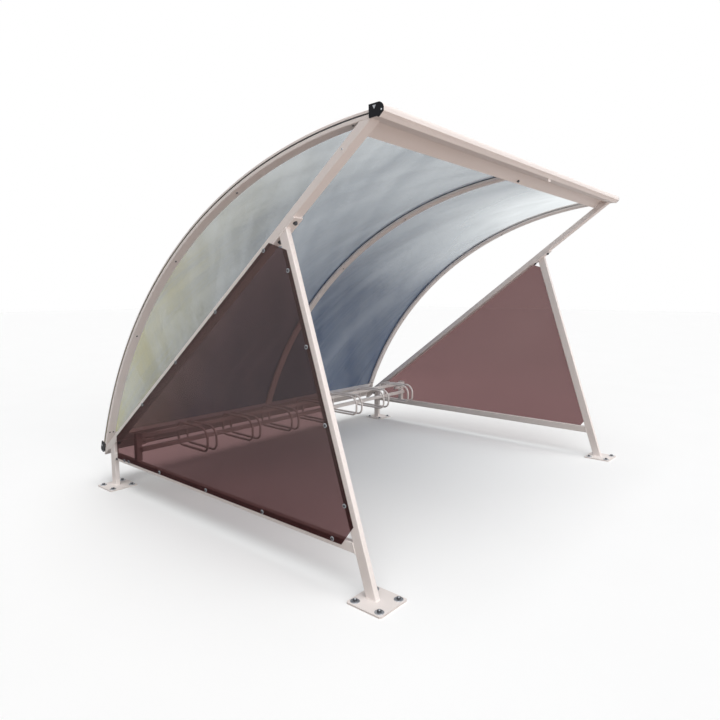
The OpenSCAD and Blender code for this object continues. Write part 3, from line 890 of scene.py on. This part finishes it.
# A screw and a small plate on each end cap
for name, shape, (radius, along) in (
        ("cap_screws", button_head(*CAP_SCREW), CAP_SCREW_AT),
        ("cap_plates", triangle(CAP_PLATE_R, CAP_PLATE_H), CAP_PLATE_AT)):
    cap_side = [edge_point(ROOF_FRONT, 1, radius, along), edge_point(ROOF_BACK, -1, radius, along)]
    fasteners(name, shape, *on_outer_faces(cap_side, CAP_T), ZINC)

# A clip that hangs from the lip of the front profile
clip_ends = edge_point(ROOF_FRONT, 1, np.array([CLIP_TOP, -CLIP_DROP]), np.full(2, CLIP_ALONG))
clip_section = rounded(CLIP_W, CLIP_T, CLIP_T / 4, steps=2)
clip = carried(in_space(CLIP_X, clip_ends), TO_FRONT, clip_section)
piece("lip_clip", clip, TRIM_PAINT)


# Welds: a bead round each joint of the end frames and of the rack

def cut_tube(centre, along, on_plane, normal, depth):
    """Where a plane cuts a tube of the left frame: its rounded outline slid along it on to the plane."""
    outline = rounded(LEG_W, depth, TUBE_ROUND)
    side = centre + np.multiply.outer(outline[:, 1], [along[1], -along[0]])
    slide = (on_plane - side) @ normal / np.dot(along, normal)
    return in_space(outline[:, 0] + LEG_W / 2 - HALF_SPAN, side + np.multiply.outer(slide, along))


def frame_welds():
    """Beads at the feet and heads of the legs and at both ends of the bottom rail, at both frames."""
    level, upright = np.array([1.0, 0.0]), np.array([0.0, 1.0])
    back_foot = FRONT_FOOT + [LEG_SPACING, 0.0]
    rail = FRONT_FOOT + [LEG_SPACING / 2, RAIL_TOP - RAIL_H / 2]
    foot_top, plate_low = FRONT_FOOT + [0.0, FOOT_T], chord_point(0.0, -HEAD_PLATE_T)
    joints = [(FRONT_FOOT, LEG_ALONG, foot_top, upright, LEG_DEPTH),
              (back_foot, upright, foot_top, upright, LEG_DEPTH),
              (FRONT_FOOT, LEG_ALONG, plate_low, CHORD_UP, LEG_DEPTH),
              (back_foot, upright, plate_low, CHORD_UP, LEG_DEPTH),
              (rail, level, FRONT_FOOT + LEG_DEPTH / 2 * LEG_BACK, LEG_BACK, RAIL_H),
              (rail, level, back_foot - [LEG_DEPTH / 2, 0.0], level, RAIL_H)]
    beads = [weld(cut_tube(*joint), in_space(0.0, joint[3]), closed=True) for joint in joints]
    return joined(*beads, *map(mirrored, beads))


def rack_welds():
    """Upright beads beside each hoop on both rack tubes, and level ones between the tubes and posts."""
    places = (np.arange(HOOPS) - (HOOPS - 1) / 2) * HOOP_PITCH
    hoop_x = np.add.outer(places, [-HOOP_GAP / 2, HOOP_GAP / 2]).ravel()
    bead_x = np.add.outer(hoop_x, [-HOOP_BEAD_ASIDE, HOOP_BEAD_ASIDE]).ravel()
    x, z = (axis.ravel() for axis in np.meshgrid(bead_x, RACK_LEVELS))
    upright = weld(np.multiply.outer([HOOP_BEAD_SHORT, RACK_TUBE - HOOP_BEAD_SHORT], UP), TO_FRONT)
    upright = copies(upright, np.stack([x, np.full(len(x), RACK_BACK + HOOP_BEAD_BACK), z], -1), UP)
    edges = np.array([RACK_LEVELS[0] + RACK_TUBE, RACK_LEVELS[1]])
    between = in_space(-HALF_SPAN, np.stack([np.full(2, RACK_BACK - POST_BEAD_FRONT), edges], -1))
    level = weld(np.multiply.outer([POST_BEAD_SHORT, POST_SIDE - POST_BEAD_SHORT], -OUT_LEFT), UP)
    level = copies(level, between, UP)
    return joined(upright, level, mirrored(level))


piece("frame_welds", frame_welds(), FRAME_PAINT, WELD_CREASE_DEG)
piece("rack_welds", rack_welds(), FRAME_PAINT, WELD_CREASE_DEG)

# Seals: an eased strip over the outer edge of each roof sheet
seal_path = in_space(-HALF_SPAN - SEAL_T / 2, arch_point(sheet_angles, SHEET_R + SHEET_T / 2))
left_seal = carried(seal_path, sheet_rise, rounded(SEAL_T, SEAL_H, SEAL_T / 3, steps=2))
roof_seals = joined(left_seal, mirrored(left_seal))
piece("roof_seals", roof_seals, SEAL, SEAL_CREASE_DEG)


# Floor, light and camera
WHITE = (1.0, 1.0, 1.0)
FLOOR_PALE = (0.93, 0.93, 0.93), (0.955, 0.955, 0.955)
BOUNCE_BACK = (0.1, 0.083, 0.073)
BOUNCE_FRONT = (0.58, 0.48, 0.43)
FLOOR_GLOW = 0.06
FLOOR_REACH = 40.0
AMBIENT = 0.16

# Lamps: the direction towards each, its strength and its width in degrees
LAMPS = {
    "key": ((-0.1, -0.26, 0.96), 2.35, 60),
    "front_fill": ((-0.12, -0.98, 0.13), 1.55, 50),
    "left_fill": ((-0.88, -0.42, 0.24), 0.84, 60),
}
CAMERA_AT = (-3.4042, -2.7739, 1.3931)
CAMERA_TILT = math.radians(90 - 6.855)
CAMERA_TURN = math.radians(-49.404)
SENSOR_MM = 36.0
LENS_MM = 28.725

scene = bpy.context.scene


def seen_directly(finish):
    """One where the eye, a reflection or glass shows the surface, else zero."""
    rays = [finish.node("ShaderNodeLightPath", out=name) for name in
            ("Is Camera Ray", "Is Glossy Ray", "Is Transmission Ray")]
    return rays[0] | rays[1] | rays[2]


def plain_world():
    """Even light from all round, seen as white."""
    finish = Finish(bpy.data.worlds.new("plain_world"))
    strength = AMBIENT + (1.0 - AMBIENT) * seen_directly(finish)
    sockets = {"Color": rgba(WHITE), "Strength": strength}
    return finish.done(finish.node("ShaderNodeBackground", None, sockets))


def pale_floor():
    """A pale floor with a soft mottle: seen nearly white, with the shelter's shadow on it. The light that
    it throws back is warm, and stronger in front of the shelter than below it."""
    finish = new_finish("pale_floor")
    seen = seen_directly(finish)
    pale = finish.mix(finish.noise(1.5, 4.0), *FLOOR_PALE)
    front = finish.ramp(-0.25 * finish.parts(finish.coords())[1], (0.2, 0.0), (0.5, 1.0))
    bounce = finish.mix(front, BOUNCE_BACK, BOUNCE_FRONT)
    lit = finish.node("ShaderNodeBsdfDiffuse", None, {"Color": finish.mix(seen, bounce, pale)})
    white = finish.node("ShaderNodeEmission", None, {"Color": rgba(WHITE)})
    return finish.done(finish.blend(FLOOR_GLOW * seen, lit, white))


def soft_sun(name, towards, strength, width_deg):
    """A distant lamp as wide as a soft box, from the given direction."""
    sun = bpy.data.objects.new(name, bpy.data.lights.new(name, "SUN"))
    sun.data.energy = strength
    sun.data.angle = math.radians(width_deg)
    east, front, high = unit(towards)
    sun.rotation_euler = (math.acos(high), 0.0, math.atan2(front, east) + math.pi / 2)
    scene.collection.objects.link(sun)


scene.view_settings.view_transform = "Standard"
scene.world = plain_world()

floor_mesh = bpy.data.meshes.new("floor")
floor_corners = FLOOR_REACH * np.array([(-1, -1, 0), (1, -1, 0), (1, 1, 0), (-1, 1, 0)])
floor_mesh.from_pydata(floor_corners.tolist(), [], [(0, 1, 2, 3)])
floor_mesh.materials.append(pale_floor())
floor = bpy.data.objects.new("floor", floor_mesh)
scene.collection.objects.link(floor)

for name, lamp in LAMPS.items():
    soft_sun(name, *lamp)

camera = bpy.data.objects.new("camera", bpy.data.cameras.new("camera"))
camera.location = CAMERA_AT
camera.rotation_euler = (CAMERA_TILT, 0.0, CAMERA_TURN)
camera.data.sensor_width = SENSOR_MM
camera.data.lens = LENS_MM
scene.collection.objects.link(camera)
scene.camera = camera
